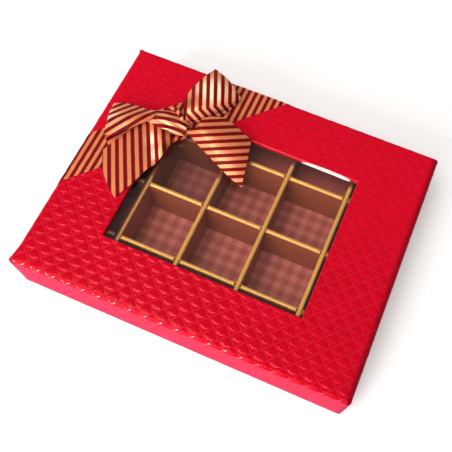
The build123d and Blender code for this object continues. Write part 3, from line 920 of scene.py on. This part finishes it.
def make_knot(material):
    """The wrap over the bow's middle: a flattened roll with gathers along it."""
    ahead, aside = directions(0.7)
    middle = np.array([KNOT[0] + 0.1, KNOT[1] + 0.1])
    half, level_z = 12.4, 38.0
    along = np.linspace(-half, half, 67)
    around = np.linspace(math.radians(-35), math.radians(215), 73)
    a, t = np.meshgrid(along, around, indexing="ij")
    share = a / half
    half_width = 6.9 - 3.2 * share ** 2 + 0.5 * share
    half_height = 2.9 - 1.2 * share ** 2
    gather = 0.34 * np.sin(t * 5.0 + share * 1.6 + 0.6) + 0.16 * np.sin(t * 11.0 - share * 3.0)
    gather *= 1 - 0.3 * np.abs(share)
    side = (half_width + gather) * np.cos(t)
    up = (half_height + gather) * np.sin(t)
    bend = -0.9 * share ** 2
    x = middle[0] + a * ahead[0] + (side + bend) * aside[0]
    y = middle[1] + a * ahead[1] + (side + bend) * aside[1]
    z = level_z + up - 0.6 * share ** 2
    grid = np.stack([x, y, z], -1)
    lean = math.radians(STRIPE_TURN)
    # the stripes run along the roll, evenly spaced as seen from above
    stripe_place = 1.9 - side * 0.875 + a * 0.15
    weave = np.stack([stripe_place / math.sin(lean), np.zeros_like(a), np.zeros_like(a)], -1)
    points, faces = grid.reshape(-1, 3), cloth_faces(*grid.shape[:2])
    # a twisted strand that comes out on the far side
    spine = curve_through([(-61.5, 41.2, 37.4), (-59.2, 42.9, 39.4), (-55.6, 42.0, 40.2),
                           (-52.2, 39.6, 39.6), (-50.2, 37.2, 37.6)], 8)
    way = np.gradient(spine, axis=0)
    way /= np.linalg.norm(way, axis=1, keepdims=True)
    level = np.cross(way, (0.0, 0.0, 1.0))
    level /= np.linalg.norm(level, axis=1, keepdims=True)
    upward = np.cross(level, way)
    ring = np.linspace(0, 2 * math.pi, 13)
    size = 1.35 + 0.22 * np.sin(ring[None, :] * 3 + np.arange(len(spine))[:, None] * 0.5)
    strand = (spine[:, None] + size[..., None] * (np.cos(ring)[None, :, None] * level[:, None]
                                                  + np.sin(ring)[None, :, None] * upward[:, None]))
    length = arc_from(spine, 0)
    strand_weave = np.zeros(strand.shape)
    strand_weave[..., 0] = (length[:, None] * 0.9 + ring[None, :] * 0.5) / math.sin(lean)
    more = [[v + len(points) for v in f] for f in cloth_faces(*strand.shape[:2])]
    points = np.concatenate([points, strand.reshape(-1, 3)])
    weave = np.concatenate([weave.reshape(-1, 3), strand_weave.reshape(-1, 3)])
    painted_light = np.zeros(weave.shape)
    painted_light[:a.size, 0] = KNOT_PAINTED_LIGHT
    piece = mesh_piece("bow_knot_satin", points, faces + more,
                       {"weave": weave, "painted_light": painted_light}, material)
    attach(piece, "lid")
    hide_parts("bow_knot")


# Camera, floor and light


def set_camera():
    """The view of the photograph: focal length and middle in pixels of its 452 pixel width."""
    focal, width = 624.5, 452.0
    middle = (247.54, 257.96)
    right = Vector((0.91902, 0.39296, 0.03127))
    up = Vector((-0.37526, 0.84782, 0.37468))
    forward = Vector((-0.12072, 0.35607, -0.92663))
    lens = bpy.data.cameras.new("view")
    lens.sensor_width = 36.0
    lens.lens = focal / width * 36.0
    lens.shift_x = -(middle[0] - width / 2) / width
    lens.shift_y = (middle[1] - width / 2) / width
    lens.clip_start, lens.clip_end = 0.01, 20.0
    camera = bpy.data.objects.new("view", lens)
    bpy.context.scene.collection.objects.link(camera)
    place = Vector((61.53, -149.98, 356.53)) * MM
    camera.matrix_world = Matrix((
        (right.x, up.x, -forward.x, place.x),
        (right.y, up.y, -forward.y, place.y),
        (right.z, up.z, -forward.z, place.z),
        (0, 0, 0, 1),
    ))
    bpy.context.scene.camera = camera


def seen_directly(r):
    """1 for rays from the camera, a mirror or through a clear piece, and 1 for the first alone."""
    path = r.node("ShaderNodeLightPath")
    camera_ray = path.out("Is Camera Ray")
    seen = camera_ray.at_least(path.out("Is Glossy Ray")).at_least(path.out("Is Transmission Ray"))
    return seen, camera_ray


def set_floor():
    material, r = finish_named("pale_floor")
    seen, _ = seen_directly(r)
    p = r.places()
    haze = r.grain(p, 0.01)
    far_off = r.vector("LENGTH", p).out("Value") * MM
    matt = r.node("ShaderNodeBsdfDiffuse", None, {
        "Color": r.blend(haze, (0.80, 0.79, 0.78, 1.0), (0.82, 0.81, 0.80, 1.0)),
    })
    # whiter where it is seen, and white far off, so that it runs into the background
    glow = r.node("ShaderNodeEmission", None, {
        "Color": (1.0, 0.99, 0.985, 1.0),
        "Strength": seen * (far_off.step(0.35, 1.1) * 0.8 + 0.26),
    })
    both = r.node("ShaderNodeAddShader", None, {0: matt, 1: glow})
    r.node("ShaderNodeOutputMaterial", None, {"Surface": both})
    mesh = bpy.data.meshes.new("floor")
    half = 3.0
    mesh.from_pydata([(-half, -half, 0), (half, -half, 0), (half, half, 0), (-half, half, 0)],
                     [], [(0, 1, 2, 3)])
    mesh.materials.append(material)
    floor = bpy.data.objects.new("floor", mesh)
    floor.location.z = -0.0001
    bpy.context.scene.collection.objects.link(floor)


def set_world():
    world = bpy.data.worlds.new("studio")
    bpy.context.scene.world = world
    r = Recipe(world)
    seen, camera_ray = seen_directly(r)
    x, y, z = r.split(r.node("ShaderNodeTexCoord").out("Generated"))
    mirrored = (1.0 - z.step(0.0, 0.55)) * 0.55 + 0.13
    fill = 0.31 - x.step(0.1, 0.9) * 0.13
    strength = camera_ray + (1.0 - camera_ray) * (seen * mirrored + (1.0 - seen) * fill)
    back = r.node("ShaderNodeBackground", None, {
        "Color": (1.0, 0.995, 0.99, 1.0), "Strength": strength,
    })
    r.node("ShaderNodeOutputWorld", None, {"Surface": back})


def soft_light(name, towards, distance, size, power, colour):
    """A square lamp that shines at the box from a direction."""
    lamp = bpy.data.lights.new(name, "AREA")
    lamp.shape = "SQUARE"
    lamp.size = size
    lamp.energy = power
    lamp.color = colour
    made = bpy.data.objects.new(name, lamp)
    direction = Vector(towards).normalized()
    made.location = direction * distance
    made.rotation_mode = "QUATERNION"
    made.rotation_quaternion = direction.to_track_quat("Z", "Y")
    bpy.context.scene.collection.objects.link(made)


# The whole scene

finishes = {
    "grey_board": fibre_board("grey_board", shade(206, 198, 186), shade(168, 158, 146)),
    "red_paper": smooth_red_paper(),
    "red_embossed_paper": embossed_red_paper(),
    "brown_lining": dark_lining(),
    "checked_card": checked_card(),
    "gold_card": gold_card(),
    "clear_film": clear_film(),
    "white_tape": white_tape(),
    "striped_satin": striped_satin(),
}

node_finish = {
    "base_board": "grey_board", "lid_board": "grey_board",
    "base_wrap": "red_paper", "bottom_sheet": "red_paper",
    "base_lining": "brown_lining", "checked_pad": "checked_card",
    "window_film": "clear_film",
}
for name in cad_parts:
    if name.startswith(("long_divider", "cross_divider")):
        node_finish[name] = "gold_card"
    if name.startswith("film_tape"):
        node_finish[name] = "white_tape"
for name, finish in node_finish.items():
    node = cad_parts[name]
    node.data.materials.clear()
    node.data.materials.append(finishes[finish])

make_lid_cover(finishes["red_embossed_paper"])
satin = finishes["striped_satin"]
make_band(satin)
make_knot(satin)
# stripes: direction, spacing and shift, and on the loops a crease
lay_cloth("bow_loop_right_satin", "bow_loop_right", RIGHT_LOOP,
          (113.2, 4.45, -0.3, ((-52.2, 46.6), 219.2, 0.167)),
          satin)
lay_cloth("bow_loop_left_satin", "bow_loop_left", LEFT_LOOP,
          (59.6, 4.9, 0.05, ((-81.9, 30.4), 29.0, 0.083)),
          satin)
lay_cloth("bow_tail_left_satin", "bow_tail_left", LEFT_TAIL, (118.0, 4.66, 0.25),
          satin)
lay_cloth("bow_tail_right_satin", "bow_tail_right", RIGHT_TAIL, (27.6, 4.88, 0.41),
          satin)

set_camera()
set_floor()
set_world()
soft_light("key", (-0.30, -0.86, 0.44), 1.5, 0.9, 22.0, (1.0, 0.985, 0.96))
soft_light("side", (-0.33, -0.22, 0.92), 1.3, 0.7, 6.0, (1.0, 0.985, 0.97))
soft_light("above", (-0.05, -0.42, 0.90), 1.2, 0.6, 5.0, (1.0, 0.985, 0.97))

bpy.context.scene.view_settings.view_transform = "Standard"
